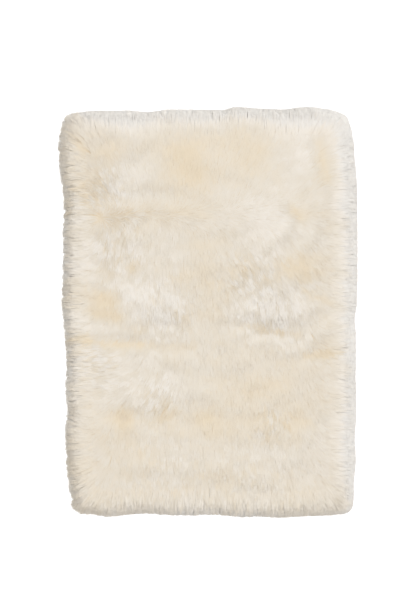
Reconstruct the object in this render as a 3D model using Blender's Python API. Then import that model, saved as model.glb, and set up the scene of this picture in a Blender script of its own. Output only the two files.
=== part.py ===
"""Sheepskin rug: a rectangular tanned hide with its long wool, lying flat on the floor.

The hide is one flat sheet. The fleece is one lumpy solid that lies on the hide, hangs over its
edge down to the floor, and ends in free locks all round its rim. Metres, +Z up. +X is the rug's
width and +Y its length. The origin is on the floor under the middle of the rug.
"""

import math
from collections import namedtuple

import bmesh
import bpy
from mathutils import Vector, noise

# Driving dimensions.
WOOL_HALF_WIDTH = 0.385
WOOL_HALF_LENGTH = 0.536
OVERHANG = 0.036
HIDE_THICKNESS = 0.0025
PILE_HEIGHT = 0.043
CLEARANCE = 0.0003

# The fleece's solid. Its free locks reach on from its rim to the wool's outline.
LOCK_REACH = 0.018
RIM_LIP = 0.007
SHOULDER = 0.055
EDGE_INSETS = (0.0, 0.006, 0.015, 0.028)
CELL = 0.0220
LUMP_SIZES = ((0.090, 0.0070), (0.046, 0.0052))
LUMPS_FADE_IN = 0.030

# The free locks: each comes out of the shoulder, drapes over the rim and ends on the floor.
LOCK_COUNT = 168
LOCK_RADIUS = 0.0106
LOCK_FLATNESS = 0.72
LOCK_SWEEP = 1.3
LOCK_SWEEP_SIZE = 0.085
LOCK_STAGGER = 0.007
LOCK_LENGTH_SPREAD = 0.50
LOCK_GIRTH_SPREAD = 0.40
LockPoint = namedtuple("LockPoint", "out height girth")
LOCK_POINTS = (
    LockPoint(-0.018, 0.0150, 0.75),
    LockPoint(0.45 * LOCK_REACH, 0.0075, 0.95),
    LockPoint(LOCK_REACH, 0.0017, 0.20),
)

OUTLINE_STEP = 0.026
RIM_STEP = 0.004
CORNER_STEPS = 6

# How far each edge of the wool stands out from the even rectangle, at places along that edge.
Bulge = namedtuple("Bulge", "along out")
LEFT_EDGE = (
    Bulge(-0.495, -0.024),
    Bulge(-0.445, -0.017),
    Bulge(-0.400, -0.012),
    Bulge(-0.340, -0.010),
    Bulge(-0.308, -0.004),
    Bulge(-0.272, -0.017),
    Bulge(-0.215, -0.009),
    Bulge(-0.120, -0.013),
    Bulge(-0.055, -0.007),
    Bulge(0.020, 0.003),
    Bulge(0.165, -0.002),
    Bulge(0.225, -0.001),
    Bulge(0.258, -0.006),
    Bulge(0.340, 0.000),
    Bulge(0.372, 0.011),
    Bulge(0.467, 0.014),
    Bulge(0.500, 0.008),
)
RIGHT_EDGE = (
    Bulge(-0.500, -0.005),
    Bulge(-0.450, -0.007),
    Bulge(-0.390, -0.001),
    Bulge(-0.345, -0.005),
    Bulge(-0.260, 0.000),
    Bulge(-0.055, 0.000),
    Bulge(-0.020, -0.006),
    Bulge(0.035, 0.003),
    Bulge(0.165, 0.004),
    Bulge(0.325, 0.003),
    Bulge(0.372, 0.000),
    Bulge(0.405, -0.006),
    Bulge(0.467, -0.006),
)
TOP_EDGE = (
    Bulge(-0.310, -0.004),
    Bulge(-0.230, -0.003),
    Bulge(-0.150, -0.008),
    Bulge(-0.120, 0.000),
    Bulge(0.045, -0.001),
    Bulge(0.072, 0.010),
    Bulge(0.105, 0.004),
    Bulge(0.195, 0.000),
    Bulge(0.260, 0.008),
    Bulge(0.320, 0.003),
)
BOTTOM_EDGE = (
    Bulge(-0.325, -0.005),
    Bulge(-0.280, 0.003),
    Bulge(-0.185, -0.008),
    Bulge(-0.060, -0.002),
    Bulge(0.015, -0.005),
    Bulge(0.100, 0.003),
    Bulge(0.132, 0.000),
    Bulge(0.180, 0.005),
    Bulge(0.260, 0.000),
    Bulge(0.345, -0.001),
)

# The radius of each corner of the wool, by its sides in X and Y.
CORNER_RADII = {(-1, 1): 0.044, (1, 1): 0.068, (-1, -1): 0.026, (1, -1): 0.036}

# Soft troughs where the wool parts, and soft ridges, with a negative depth, where tufts pile up.
WANDER_SIZE, WANDER = 0.050, 0.016
Crease = namedtuple("Crease", "start end half_width depth")
CREASES = (
    Crease((-0.370, 0.256), (-0.150, 0.264), 0.014, 0.011),
    Crease((-0.150, 0.264), (0.040, 0.250), 0.014, 0.008),
    Crease((-0.365, -0.074), (-0.170, -0.076), 0.014, 0.011),
    Crease((-0.170, -0.076), (-0.045, -0.084), 0.015, 0.008),
    Crease((0.065, -0.024), (0.250, -0.058), 0.014, 0.011),
    Crease((0.255, -0.102), (0.345, -0.120), 0.014, 0.009),
    Crease((-0.355, -0.266), (-0.060, -0.280), 0.014, 0.008),
    Crease((-0.060, -0.280), (0.345, -0.274), 0.014, 0.007),
    Crease((0.275, 0.455), (0.295, 0.385), 0.022, 0.010),
    Crease((0.205, 0.285), (0.240, 0.255), 0.018, 0.008),
    Crease((-0.345, 0.475), (-0.315, 0.425), 0.014, 0.008),
    Crease((-0.190, 0.030), (-0.085, -0.005), 0.026, -0.006),
    Crease((0.090, 0.010), (0.240, 0.000), 0.026, -0.007),
)

FLEECE_COLOUR = (0.80, 0.73, 0.61, 1.0)
HIDE_COLOUR = (0.72, 0.62, 0.48, 1.0)


def eased(share):
    """0 to 1 with a level start and end."""
    share = min(max(share, 0.0), 1.0)
    return share * share * (3.0 - 2.0 * share)


def bulge_at(edge, along):
    """How far this edge stands out at a place along it."""
    if along <= edge[0].along:
        return edge[0].out
    for low, high in zip(edge, edge[1:]):
        if along <= high.along:
            share = eased((along - low.along) / (high.along - low.along))
            return low.out + share * (high.out - low.out)
    return edge[-1].out


def uneven(x, y):
    """A point of the even rectangle, moved as the real edges bulge and draw in."""
    side = RIGHT_EDGE if x > 0 else LEFT_EDGE
    end = TOP_EDGE if y > 0 else BOTTOM_EDGE
    across = math.copysign((x / WOOL_HALF_WIDTH) ** 4, x)
    along = math.copysign((y / WOOL_HALF_LENGTH) ** 4, y)
    return Vector((x + across * bulge_at(side, y), y + along * bulge_at(end, x)))


def corner_radius(x, y, inset):
    """The corner's radius on a line that runs this far inside the wool's outline."""
    return max(CORNER_RADII[(1 if x > 0 else -1, 1 if y > 0 else -1)] - inset, 0.004)


def rounded(x, y, inset):
    """A point on a rectangle this far inside the wool's outline, drawn in onto its round corner."""
    radius = corner_radius(x, y, inset)
    middle = Vector((WOOL_HALF_WIDTH - inset - radius, WOOL_HALF_LENGTH - inset - radius))
    out = Vector((abs(x), abs(y))) - middle
    if out.x > 0 and out.y > 0:
        out *= radius / out.length
        x = math.copysign(middle.x + out.x, x)
        y = math.copysign(middle.y + out.y, y)
    return x, y


def corner_arc(sign_x, sign_y, inset):
    """The points of one round corner, anticlockwise."""
    radius = corner_radius(sign_x, sign_y, inset)
    centre_x = sign_x * (WOOL_HALF_WIDTH - inset - radius)
    centre_y = sign_y * (WOOL_HALF_LENGTH - inset - radius)
    start = {(1, 1): 0.0, (-1, 1): 0.5, (-1, -1): 1.0, (1, -1): 1.5}[(sign_x, sign_y)] * math.pi
    turns = [start + 0.5 * math.pi * k / CORNER_STEPS for k in range(CORNER_STEPS + 1)]
    return [(centre_x + radius * math.cos(t), centre_y + radius * math.sin(t)) for t in turns]


def outline(inset, step):
    """The uneven outline this far inside the wool's, anticlockwise, as points an even step apart."""
    corners = [corner_arc(*signs, inset) for signs in ((1, 1), (-1, 1), (-1, -1), (1, -1))]
    even = [point for corner in corners for point in corner]
    dense = []
    for (x0, y0), (x1, y1) in zip(even, even[1:] + even[:1]):
        count = max(1, math.ceil(math.hypot(x1 - x0, y1 - y0) / 0.003))
        dense += [uneven(x0 + (x1 - x0) * k / count, y0 + (y1 - y0) * k / count) for k in range(count)]
    lengths = [(b - a).length for a, b in zip(dense, dense[1:] + dense[:1])]
    steps = round(sum(lengths) / step)
    points, walked, edge = [], 0.0, 0
    for k in range(steps):
        target = sum(lengths) * k / steps
        while walked + lengths[edge] < target:
            walked += lengths[edge]
            edge += 1
        ahead = dense[(edge + 1) % len(dense)]
        points.append(dense[edge].lerp(ahead, (target - walked) / lengths[edge]))
    return points


def from_segment(point, start, end):
    """The distance from a point to a straight stretch."""
    start, end = Vector(start), Vector(end)
    run = end - start
    share = min(max((point - start).dot(run) / run.length_squared, 0.0), 1.0)
    return (point - start - share * run).length


def wool_height(point, inset):
    """The height of the fleece's top, this far inside its own rim."""
    rise = min(inset / SHOULDER, 1.0)
    height = RIM_LIP + (PILE_HEIGHT - RIM_LIP) * math.sqrt(1.0 - (1.0 - rise) ** 2)
    uneven_by = sum(
        depth * noise.noise(Vector((point.x / size, point.y / size, size)))
        for size, depth in LUMP_SIZES
    )
    wander = noise.noise(Vector((point.x / WANDER_SIZE, point.y / WANDER_SIZE, 1.0)))
    strayed = point + Vector((0.0, WANDER * wander))
    for crease in CREASES:
        off = from_segment(strayed, crease.start, crease.end) / crease.half_width
        uneven_by -= crease.depth * math.exp(-off * off)
    return height + uneven_by * eased(inset / LUMPS_FADE_IN)


def grid_lines(half):
    """The insets of a grid's lines from one rim to the middle, closer together at the rim."""
    rest = half - EDGE_INSETS[-1]
    count = round(rest / CELL)
    return list(EDGE_INSETS) + [EDGE_INSETS[-1] + rest * k / count for k in range(1, count + 1)]


def add_object(name, mesh, colour, roughness):
    """An object in the rug's collection, with its own material."""
    obj = bpy.data.objects.new(name, mesh)
    rug.objects.link(obj)
    material = bpy.data.materials.new(name)
    material.use_nodes = True
    shader = material.node_tree.nodes["Principled BSDF"]
    shader.inputs["Base Color"].default_value = colour
    shader.inputs["Roughness"].default_value = roughness
    shader.inputs["Metallic"].default_value = 0.0
    mesh.materials.append(material)
    return obj


def as_helper(obj):
    """A cutter or a joined helper, which isn't a piece of the rug."""
    helpers.objects.link(obj)
    obj.hide_render = True
    obj.display_type = "WIRE"
    return obj


def make_slab():
    """The fleece without its free locks: a lumpy pad with a round shoulder and a flat underside."""
    half_width = WOOL_HALF_WIDTH - LOCK_REACH
    half_length = WOOL_HALF_LENGTH - LOCK_REACH
    across, along = grid_lines(half_width), grid_lines(half_length)
    columns, rows = 2 * (len(across) - 1), 2 * (len(along) - 1)
    bm = bmesh.new()
    bmesh.ops.create_grid(bm, x_segments=columns, y_segments=rows, size=1.0)
    for vert in bm.verts:
        column = round((vert.co.x + 1.0) / 2.0 * columns)
        row = round((vert.co.y + 1.0) / 2.0 * rows)
        in_x = across[min(column, columns - column)]
        in_y = along[min(row, rows - row)]
        x = math.copysign(half_width - in_x, vert.co.x)
        y = math.copysign(half_length - in_y, vert.co.y)
        inset = min(in_x, in_y)
        place = uneven(*rounded(x, y, inset + LOCK_REACH))
        vert.co = (place.x, place.y, wool_height(place, inset))
    rim = [edge for edge in bm.edges if edge.is_boundary]
    walls = bmesh.ops.extrude_edge_only(bm, edges=rim)["geom"]
    for vert in walls:
        if isinstance(vert, bmesh.types.BMVert):
            vert.co.z = 0.0
    foot = [item for item in walls if isinstance(item, bmesh.types.BMEdge)]
    bmesh.ops.contextual_create(bm, geom=[edge for edge in foot if edge.is_boundary])
    bmesh.ops.recalc_face_normals(bm, faces=bm.faces)
    mesh = bpy.data.meshes.new("fleece")
    bm.to_mesh(mesh)
    bm.free()
    mesh.shade_smooth()
    mesh.set_sharp_from_angle(angle=math.radians(50.0))
    return add_object("fleece", mesh, FLEECE_COLOUR, 0.95)


def make_locks():
    """The free locks round the rim: four-sided, tapered, each lying out and down to the floor."""
    curve = bpy.data.curves.new("locks", "CURVE")
    curve.dimensions = "3D"
    curve.bevel_depth = LOCK_RADIUS
    curve.bevel_resolution = 0
    curve.use_fill_caps = True
    rim = outline(LOCK_REACH, RIM_STEP)
    for k in range(LOCK_COUNT):
        stagger, longer, thicker = (noise.noise(Vector((k * 1.37, 0.0, seed))) for seed in (5.0, 7.0, 9.0))
        at = round(k * len(rim) / LOCK_COUNT + LOCK_STAGGER * stagger / RIM_STEP) % len(rim)
        ahead = rim[(at + 3) % len(rim)] - rim[at - 3]
        outward = Vector((ahead.y, -ahead.x)).normalized()
        swing = noise.noise(Vector((rim[at].x, rim[at].y, LOCK_SWEEP_SIZE)) / LOCK_SWEEP_SIZE)
        sweep = Vector((-outward.y, outward.x)) * LOCK_SWEEP * swing
        length = 1.0 + LOCK_LENGTH_SPREAD * longer
        girth = 1.0 + LOCK_GIRTH_SPREAD * thicker
        spline = curve.splines.new("POLY")
        spline.points.add(len(LOCK_POINTS) - 1)
        for point, shape in zip(spline.points, LOCK_POINTS):
            free = max(shape.out, 0.0) * length
            place = rim[at] + outward * (min(shape.out, 0.0) + free) + sweep * free
            point.co = (place.x, place.y, shape.height * girth / LOCK_FLATNESS, 1.0)
            point.radius = shape.girth * girth
    carrier = bpy.data.objects.new("locks_curve", curve)
    helpers.objects.link(carrier)
    bpy.context.view_layer.update()
    graph = bpy.context.evaluated_depsgraph_get()
    mesh = bpy.data.meshes.new_from_object(carrier.evaluated_get(graph))
    bpy.data.objects.remove(carrier)
    bm = bmesh.new()
    bm.from_mesh(mesh)
    bmesh.ops.scale(bm, vec=(1.0, 1.0, LOCK_FLATNESS), verts=bm.verts)
    bmesh.ops.remove_doubles(bm, verts=bm.verts, dist=0.00005)
    bmesh.ops.recalc_face_normals(bm, faces=bm.faces)
    bm.to_mesh(mesh)
    bm.free()
    return as_helper(bpy.data.objects.new("locks", mesh))


def make_plate(name, inset, low, high):
    """A flat plate with the rug's outline, this far inside the wool, between two heights."""
    curve = bpy.data.curves.new(name, "CURVE")
    curve.dimensions = "2D"
    curve.fill_mode = "BOTH"
    curve.extrude = (high - low) / 2.0
    points = outline(inset, OUTLINE_STEP)
    spline = curve.splines.new("POLY")
    spline.points.add(len(points) - 1)
    for point, place in zip(spline.points, points):
        point.co = (place.x, place.y, 0.0, 1.0)
    spline.use_cyclic_u = True
    carrier = bpy.data.objects.new(name + "_curve", curve)
    carrier.location.z = (low + high) / 2.0
    helpers.objects.link(carrier)
    bpy.context.view_layer.update()
    graph = bpy.context.evaluated_depsgraph_get()
    mesh = bpy.data.meshes.new_from_object(carrier.evaluated_get(graph))
    mesh.transform(carrier.matrix_world)
    bpy.data.objects.remove(carrier)
    bm = bmesh.new()
    bm.from_mesh(mesh)
    bmesh.ops.remove_doubles(bm, verts=bm.verts, dist=0.00005)
    bmesh.ops.recalc_face_normals(bm, faces=bm.faces)
    bm.to_mesh(mesh)
    bm.free()
    mesh.name = name
    return mesh


def boolean(obj, other, operation):
    modifier = obj.modifiers.new(operation.title(), "BOOLEAN")
    modifier.operation = operation
    modifier.object = other
    modifier.use_self = operation == "UNION"


for old in list(bpy.data.objects):
    bpy.data.objects.remove(old)
rug = bpy.data.collections.new("sheepskin_rug")
helpers = bpy.data.collections.new("cutters")
bpy.context.scene.collection.children.link(rug)
bpy.context.scene.collection.children.link(helpers)

# The hide lies on the floor, inside the wool that hangs over its edge.
hide = add_object("hide", make_plate("hide", OVERHANG, 0.0, HIDE_THICKNESS), HIDE_COLOUR, 0.8)

# The fleece takes in its locks, and is hollowed underneath where the hide lies.
fleece = make_slab()
recess_mesh = make_plate("recess", OVERHANG - CLEARANCE, -0.01, HIDE_THICKNESS + CLEARANCE)
recess = as_helper(bpy.data.objects.new("recess", recess_mesh))
boolean(fleece, recess, "DIFFERENCE")
boolean(fleece, make_locks(), "UNION")
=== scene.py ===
"""Sheepskin rug, the looks: a sewn hide, its woolly undercoat, and long combed wool in locks.

Metres, +Z up, the rug face up on the floor with +Y along its length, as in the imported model.
"""

import math
from collections import namedtuple

import bmesh
import bpy
import numpy as np
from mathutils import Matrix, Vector, noise
from mathutils.bvhtree import BVHTree


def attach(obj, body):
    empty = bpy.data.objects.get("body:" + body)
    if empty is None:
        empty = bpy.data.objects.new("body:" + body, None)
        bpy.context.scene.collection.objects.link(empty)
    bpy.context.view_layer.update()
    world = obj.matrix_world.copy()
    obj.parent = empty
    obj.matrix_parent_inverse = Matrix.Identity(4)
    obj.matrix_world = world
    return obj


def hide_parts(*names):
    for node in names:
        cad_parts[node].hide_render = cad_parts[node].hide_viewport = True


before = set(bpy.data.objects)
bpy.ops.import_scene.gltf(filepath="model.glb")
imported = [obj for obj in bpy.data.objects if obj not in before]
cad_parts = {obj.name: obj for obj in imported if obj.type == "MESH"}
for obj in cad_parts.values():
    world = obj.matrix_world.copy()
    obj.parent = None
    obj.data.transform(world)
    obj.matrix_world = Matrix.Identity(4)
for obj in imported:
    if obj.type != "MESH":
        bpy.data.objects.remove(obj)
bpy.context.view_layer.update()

# ---------------------------------------------------------------------------------------------
# The rug's outline. The wool is trimmed all round to one even overhang past the skin, so all the
# wool below is laid out by its distance in from the wool's edge.
# ---------------------------------------------------------------------------------------------

FREE_LOCKS = 0.018  # the wool's edge lies this far outside the fleece solid's flat foot
CORNER_FAN = 0.030  # how far the ways out blend where two sides meet
FOOT_LEVEL, FACING_DOWN = 1e-4, -0.99  # a solid's foot lies lower and faces further down than this
SAME_POINT = 1e-5
TINY = 1e-9  # keeps a divisor from being zero


def foot_outline(node):
    """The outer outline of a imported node's flat foot, anticlockwise."""
    bm = bmesh.new()
    bm.from_mesh(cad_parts[node].data)
    bmesh.ops.remove_doubles(bm, verts=bm.verts, dist=SAME_POINT)
    level = [face for face in bm.faces if face.normal.z < FACING_DOWN]
    foot = {face for face in level if face.calc_center_median().z < FOOT_LEVEL}
    ahead = {}
    for face in foot:
        for loop in face.loops:
            if loop.edge.link_faces[0] not in foot or loop.edge.link_faces[-1] not in foot:
                ahead[loop.link_loop_next.vert] = loop.vert
    outlines = []
    while ahead:
        vert, run = next(iter(ahead)), []
        while vert in ahead:
            run.append(vert.co.xy.copy())
            vert = ahead.pop(vert)
        outlines.append(np.array(run))
    bm.free()
    return max(outlines, key=lambda run: np.ptp(run, axis=0).sum())


def spread(outline, by):
    """An outline moved outwards."""
    runs = unit(np.roll(outline, -1, axis=0) - np.roll(outline, 1, axis=0))
    return outline + by * np.stack([runs[:, 1], -runs[:, 0]], axis=1)


def unit(vectors):
    """Vectors of the same ways with a length of 1."""
    return vectors / np.maximum(np.linalg.norm(vectors, axis=1, keepdims=True), TINY)


def inside(points, outline):
    """Whether each point lies inside an outline."""
    start, end = outline, np.roll(outline, -1, axis=0)
    x, y = points[:, :1], points[:, 1:]
    spans = (start[:, 1] > y) != (end[:, 1] > y)
    rise = np.where(end[:, 1] == start[:, 1], TINY, end[:, 1] - start[:, 1])
    crossed = x < start[:, 0] + (y - start[:, 1]) / rise * (end[:, 0] - start[:, 0])
    return (spans & crossed).sum(axis=1) % 2 == 1


def room_to(outline, points):
    """How far each point lies inside an outline, the way straight out, and the nearest point on it."""
    runs = np.roll(outline, -1, axis=0) - outline
    offsets = points[:, None] - outline
    share = np.clip((offsets * runs).sum(-1) / (runs**2).sum(-1), 0.0, 1.0)
    gaps = share[..., None] * runs - offsets
    distances = np.linalg.norm(gaps, axis=-1)
    nearest = distances.min(axis=1)
    sign = np.where(inside(points, outline), 1.0, -1.0)
    weights = np.exp((nearest[:, None] - distances) / CORNER_FAN)[..., None]
    ways = gaps / np.maximum(distances, TINY)[..., None]
    out = unit(sign[:, None] * (weights * ways).sum(axis=1))
    return sign * nearest, out, points + gaps[np.arange(len(points)), distances.argmin(axis=1)]


def keep_only(bm, kept):
    """Deletes all but some of a mesh's faces."""
    gone = [face for face, keep in zip(bm.faces, kept) if not keep]
    bmesh.ops.delete(bm, geom=gone, context="FACES")


def flat_grid(outline, pitch):
    """A flat mesh of small squares inside an outline, its border drawn onto the outline."""
    low, high = outline.min(axis=0) - pitch, outline.max(axis=0) + pitch
    count = np.ceil((high - low) / pitch).astype(int)
    bm = bmesh.new()
    bmesh.ops.create_grid(bm, x_segments=int(count[0]), y_segments=int(count[1]), size=0.5)
    middle, size = (low + high) / 2, count * pitch
    bmesh.ops.scale(bm, vec=(size[0], size[1], 1.0), verts=bm.verts)
    bmesh.ops.translate(bm, vec=(middle[0], middle[1], 0.0), verts=bm.verts)
    centres = np.array([face.calc_center_median().xy for face in bm.faces])
    keep_only(bm, inside(centres, outline))
    border = [vert for vert in bm.verts if vert.is_boundary]
    _, _, on_outline = room_to(outline, np.array([vert.co.xy for vert in border]))
    for vert, place in zip(border, on_outline):
        vert.co.xy = place
    return bm


wool_edge = spread(foot_outline("fleece"), FREE_LOCKS)

# ---------------------------------------------------------------------------------------------
# Tanned skin: a flat sheet of sheep leather, suede side down, sewn edge to edge from four
# crosswise strips. The wool grows out of its upper side.
# ---------------------------------------------------------------------------------------------

SKIN_THICKNESS = 0.0020
SKIN_TOP = 0.0024
SKIN_PITCH = 0.0160
SEAM_SHADE_REACH = 0.0060  # how far from a seam the leather is darkened
SEAM_SHADE = (0.42, 0.33, 0.23, 1.0)
# Each seam's bends, from left to right.
SEAMS = (
    ((-0.40, 0.262), (-0.29, 0.264), (-0.15, 0.262), (0.02, 0.250), (0.40, 0.243)),
    ((-0.40, -0.070), (-0.17, -0.076), (-0.045, -0.080), (0.065, -0.028), (0.25, -0.055), (0.40, -0.045)),
    ((-0.40, -0.268), (-0.06, -0.280), (0.17, -0.272), (0.40, -0.276)),
)
WHITE = (1.0, 1.0, 1.0, 1.0)
BLACK = (0.0, 0.0, 0.0, 1.0)
Suede = namedtuple("Suede", "strip colour")
SUEDES = (
    Suede(0.0, (0.70, 0.60, 0.46, 1.0)),
    Suede(0.4, (0.76, 0.66, 0.52, 1.0)),
    Suede(0.7, (0.73, 0.62, 0.47, 1.0)),
    Suede(1.0, (0.78, 0.69, 0.55, 1.0)),
)
# A grain runs from its dark colour, where its height is low, to its light one, where it is high.
Grain = namedtuple("Grain", "scale detail low high dark light", defaults=(0.0, 1.0, BLACK, WHITE))
SUEDE_MOTTLE = Grain(14.0, 4.0, 0.30, 0.72, (0.80, 0.78, 0.74, 1.0), (1.06, 1.05, 1.03, 1.0))
SUEDE_NAP = Grain(900.0, 3.0)
SUEDE_WEAR = Grain(40.0, 4.0)
SUEDE_WORN, SUEDE_FRESH = 0.78, 0.98  # its roughness
Relief = namedtuple("Relief", "strength depth")
NAP_RELIEF = Relief(0.35, 0.0004)


def seam_heights(xs):
    """Each seam's Y at each X."""
    return np.array([np.interp(xs, *zip(*seam)) for seam in SEAMS])


def strip_of(points):
    """Which strip of skin each point is on, from 0 at the head of the rug."""
    return (points[:, 1] < seam_heights(points[:, 0])).sum(axis=0)


def set_attribute(mesh, name, values):
    """A named attribute on a mesh's points, of numbers or of vectors."""
    kind = "FLOAT_VECTOR" if values.ndim == 2 else "FLOAT"
    layer = mesh.attributes.new(name, kind, "POINT")
    layer.data.foreach_set("vector" if values.ndim == 2 else "value", values.ravel().astype(np.float32))


def show(name, mesh):
    """A piece of the rug, which lies where its mesh does."""
    piece = bpy.data.objects.new(name, mesh)
    bpy.context.scene.collection.objects.link(piece)
    return piece


def new_group(name, kind, inputs, outputs):
    """An empty node group with named sockets and their kinds, and the sockets at its two ends."""
    group = bpy.data.node_groups.new(name, kind)
    for way, sockets in (("INPUT", inputs), ("OUTPUT", outputs)):
        for socket, socket_kind in sockets.items():
            group.interface.new_socket(socket, in_out=way, socket_type=f"NodeSocket{socket_kind}")
    return group, group.nodes.new("NodeGroupInput").outputs, group.nodes.new("NodeGroupOutput").inputs


def new_material(name):
    """A plain material, its node tree and its shader."""
    material = bpy.data.materials.new(name)
    material.use_nodes = True
    return material, material.node_tree, material.node_tree.nodes["Principled BSDF"]


def colour_ramp(tree, value, stops):
    """A colour for each value, from (place, colour) stops."""
    node = tree.nodes.new("ShaderNodeValToRGB")
    tree.links.new(value, node.inputs[0])
    elements = node.color_ramp.elements
    while len(elements) < len(stops):
        elements.new(0.5)
    for element, (place, _) in zip(elements, stops):
        element.position = place
    for element, (_, colour) in zip(elements, stops):
        element.color = colour
    return node.outputs[0]


def blended(tree, low, high, share, way="MIX"):
    """Two colours mixed by a share. Each of the three is a value or a socket."""
    node = tree.nodes.new("ShaderNodeMix")
    node.data_type = "RGBA"
    node.blend_type = way
    for name, value in (("Factor", share), ("A", low), ("B", high)):
        socket = next(s for s in node.inputs if s.name == name and s.enabled)
        if isinstance(value, bpy.types.NodeSocket):
            tree.links.new(value, socket)
        else:
            socket.default_value = value
    return next(s for s in node.outputs if s.enabled)


def make_grain():
    """A shader group: noise on a piece's own coordinates, as a height and as a colour."""
    numbers = dict.fromkeys(("Scale", "Detail", "Low", "High"), "Float")
    colours = dict.fromkeys(("Dark", "Light"), "Color")
    tree, given, done = new_group(
        "grain", "ShaderNodeTree", {**numbers, **colours}, {"Colour": "Color", "Height": "Float"}
    )
    places = tree.nodes.new("ShaderNodeTexCoord")
    pattern = tree.nodes.new("ShaderNodeTexNoise")
    share = tree.nodes.new("ShaderNodeMapRange")
    colour = blended(tree, given["Dark"], given["Light"], share.outputs["Result"])
    for source, target in (
        (places.outputs["Object"], pattern.inputs["Vector"]),
        (given["Scale"], pattern.inputs["Scale"]),
        (given["Detail"], pattern.inputs["Detail"]),
        (pattern.outputs["Fac"], share.inputs["Value"]),
        (given["Low"], share.inputs["From Min"]),
        (given["High"], share.inputs["From Max"]),
        (colour, done["Colour"]),
        (pattern.outputs["Fac"], done["Height"]),
    ):
        tree.links.new(source, target)
    return tree


def grain_in(tree, look):
    """The grain of one look, placed in a material: its colour and its height."""
    node = tree.nodes.new("ShaderNodeGroup")
    node.node_tree = grain
    for socket, value in zip(node.inputs, look):
        socket.default_value = value
    return node.outputs["Colour"], node.outputs["Height"]


def raise_by(tree, shader, height, relief):
    """Gives a material's shader the relief of a height pattern."""
    bump = tree.nodes.new("ShaderNodeBump")
    bump.inputs["Strength"].default_value = relief.strength
    bump.inputs["Distance"].default_value = relief.depth
    tree.links.new(height, bump.inputs["Height"])
    tree.links.new(bump.outputs["Normal"], shader.inputs["Normal"])


def stored_value(tree, name):
    """A number stored on the piece's points, read in its material."""
    node = tree.nodes.new("ShaderNodeAttribute")
    node.attribute_name = name
    return node.outputs["Fac"]


def make_suede():
    """The napped flesh side: mottled tan, a little different on each strip, darker in the seams."""
    material, tree, shader = new_material("suede")
    strip_colour = colour_ramp(tree, stored_value(tree, "strip"), SUEDES)
    mottle, _ = grain_in(tree, SUEDE_MOTTLE)
    mottled = blended(tree, strip_colour, mottle, 1.0, "MULTIPLY")
    colour = blended(tree, mottled, SEAM_SHADE, stored_value(tree, "seam"))
    tree.links.new(colour, shader.inputs["Base Color"])
    rough = tree.nodes.new("ShaderNodeMapRange")
    rough.inputs["To Min"].default_value = SUEDE_WORN
    rough.inputs["To Max"].default_value = SUEDE_FRESH
    tree.links.new(grain_in(tree, SUEDE_WEAR)[1], rough.inputs["Value"])
    tree.links.new(rough.outputs["Result"], shader.inputs["Roughness"])
    raise_by(tree, shader, grain_in(tree, SUEDE_NAP)[1], NAP_RELIEF)
    return material


grain = make_grain()
sheet = flat_grid(foot_outline("hide"), SKIN_PITCH)
for vert in sheet.verts:
    vert.co.z = SKIN_TOP
flat_skin = bpy.data.meshes.new("tanned_skin")
sheet.to_mesh(flat_skin)
sheet.free()
flat = np.array([vert.co.xy for vert in flat_skin.vertices])
set_attribute(flat_skin, "strip", strip_of(flat) / len(SEAMS))
from_seam = np.abs(flat[:, 1] - seam_heights(flat[:, 0])).min(axis=0)
set_attribute(flat_skin, "seam", np.exp(-((from_seam / SEAM_SHADE_REACH) ** 2)))
carrier = show("flat_skin", flat_skin)
thick = carrier.modifiers.new("thickness", "SOLIDIFY")
thick.thickness, thick.offset = SKIN_THICKNESS, -1.0
bpy.context.view_layer.update()
graph = bpy.context.evaluated_depsgraph_get()
skin_mesh = bpy.data.meshes.new_from_object(carrier.evaluated_get(graph))
bpy.data.objects.remove(carrier)
skin_mesh.materials.append(make_suede())
tanned_skin = show("tanned_skin", skin_mesh)
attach(tanned_skin, "root")
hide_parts("hide")

# ---------------------------------------------------------------------------------------------
# Seam stitches: waxed thread sewn over and over the strips' edges, on the skin's underside. Each
# stitch crosses its seam at a slant, with both ends drawn up into the leather.
# ---------------------------------------------------------------------------------------------

STITCH_SPACING, STITCH_LENGTH = 0.0042, 0.0066
THREAD_WIDTH = 0.0008
STITCH_SLANT, STITCH_UNEVEN = 1.05, 0.10  # from the seam's line, in radians
STITCH_SIDES, STITCH_STEPS = 6, 4
STITCH_CURL = 4.0  # above 1, a stitch lies flat and only its ends go up into the leather
STITCH_SEED = 5
STITCH_SOCKETS = {
    "Lines": "Geometry",
    "Spacing": "Float",
    "Stitch length": "Float",
    "Thread width": "Float",
    "Seed": "Int",
    "Thread": "Material",
}
SEAM_END_GAP = 0.006
THREAD_FIBRES = Grain(1500.0, 2.0, 0.3, 0.7, (0.62, 0.53, 0.38, 1.0), (0.80, 0.73, 0.60, 1.0))
THREAD_ROUGHNESS = 0.55
THREAD_RELIEF = Relief(0.3, 0.0002)


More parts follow.
